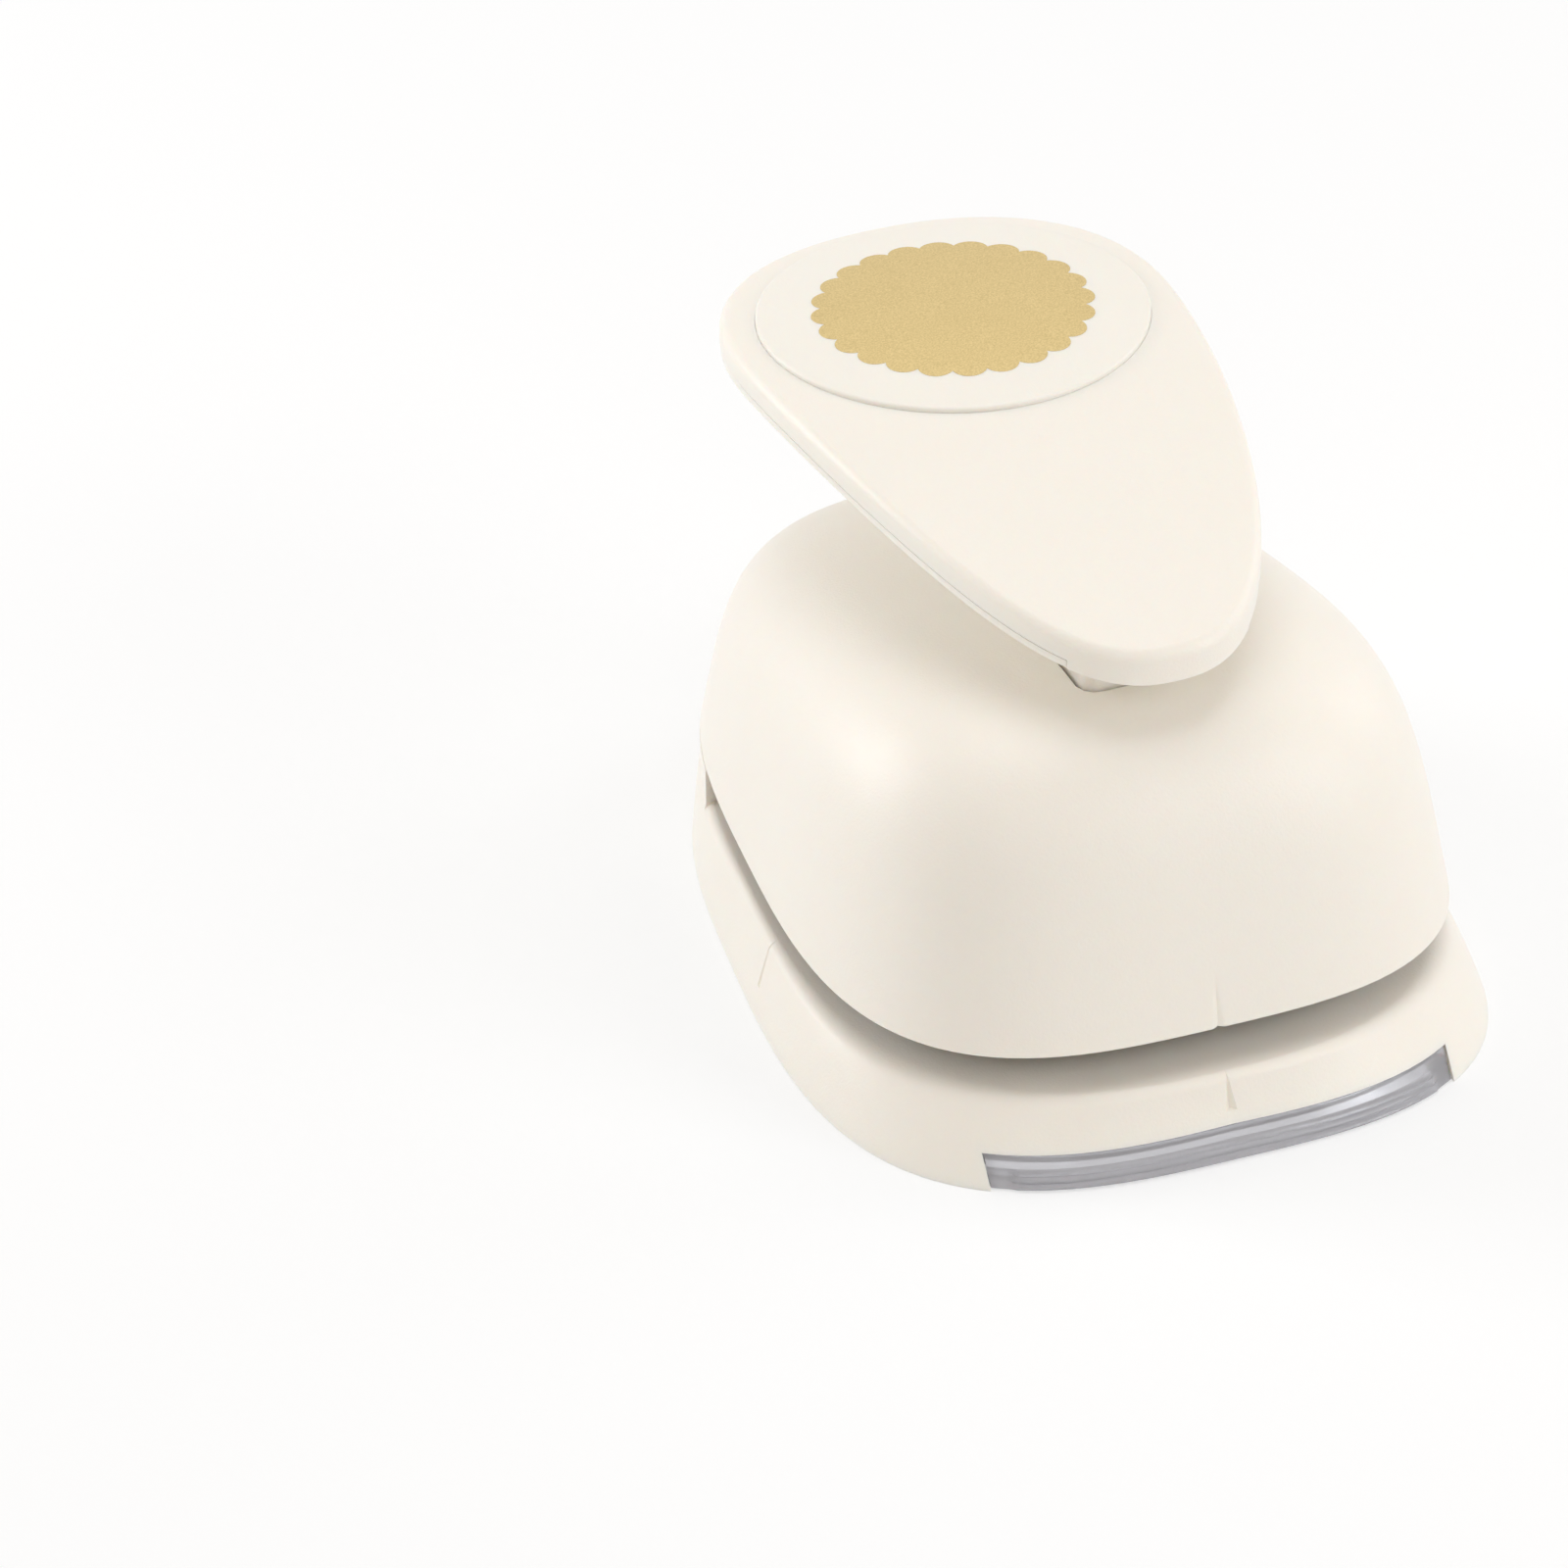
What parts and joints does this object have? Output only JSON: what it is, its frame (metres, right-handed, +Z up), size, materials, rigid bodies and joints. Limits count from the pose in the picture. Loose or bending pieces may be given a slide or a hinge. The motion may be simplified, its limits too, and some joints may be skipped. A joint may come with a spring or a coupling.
{
  "type": "craft punch",
  "caption": "Lever-operated desk punch that cuts a scalloped circle from paper: domed body on a slotted base, spring-return lever with a raised disc, and a clear pull-out chip tray.",
  "frame": {"origin": "centre of the footprint, at table level", "axes": "+Z up, -Y towards the front where the paper goes in, +X to the user's right"},
  "size_m": [0.1142, 0.155, 0.0919],
  "materials": {
    "ivory": "satin",
    "clear": "clear",
    "grey_plastic": "matte",
    "steel": "plated",
    "tool_steel": "ground",
    "spring_steel": "drawn wire"
  },
  "bodies": {
    "body": {"base_shell": "ivory", "dome_shell": "ivory", "die_plate": "steel", "guide_plate": "steel", "plate_spacer_left": "steel", "plate_spacer_right": "steel", "plate_rivet_left": "steel", "plate_rivet_right": "steel", "dome_screw_rear_left": "steel", "dome_screw_rear_right": "steel", "dome_screw_front_left": "steel", "dome_screw_front_right": "steel", "guide_post_1": "steel", "guide_post_2": "steel", "guide_post_3": "steel", "guide_post_4": "steel", "return_spring_1": "spring_steel", "return_spring_2": "spring_steel", "return_spring_3": "spring_steel", "return_spring_4": "spring_steel", "pivot_bracket": "steel", "bracket_screw_left": "steel", "bracket_screw_right": "steel", "pivot_pin": "steel", "pin_clip": "spring_steel"},
    "lever": {"lever_core": "ivory", "lever_shell": "ivory", "lever_underplate": "ivory", "lever_disc": "ivory", "lever_screw_1": "steel", "lever_screw_2": "steel", "lever_screw_3": "steel", "lever_screw_4": "steel", "lever_screw_5": "steel"},
    "plunger": {"punch_head": "tool_steel", "punch_carrier": "grey_plastic", "pressure_pad": "steel", "carrier_screw_1": "steel", "carrier_screw_2": "steel", "carrier_screw_3": "steel", "carrier_screw_4": "steel"},
    "tray": {"chip_tray": "clear"}
  },
  "joints": [
    {"name": "lever_pivot", "type": "hinge", "parent": "body", "child": "lever", "pos_m": [0, -0.03277, 0.058], "axis": [-1, 0, 0], "range_deg": [0, 12], "stiffness_Nm_per_rad": 1.6, "springref_deg": -20.05},
    {"name": "plunger_slide", "type": "slide", "parent": "body", "child": "plunger", "axis": [0, 0, -1], "range_m": [0, 0.0051], "deforming": ["return_spring_1", "return_spring_2", "return_spring_3", "return_spring_4"]},
    {"name": "tray_slide", "type": "slide", "parent": "body", "child": "tray", "axis": [0, -1, 0], "range_m": [0, 0.07]}
  ],
  "couplings": [
    {"joint": "plunger_slide", "follows": "lever_pivot", "m_per_rad": 0.024}
  ]
}
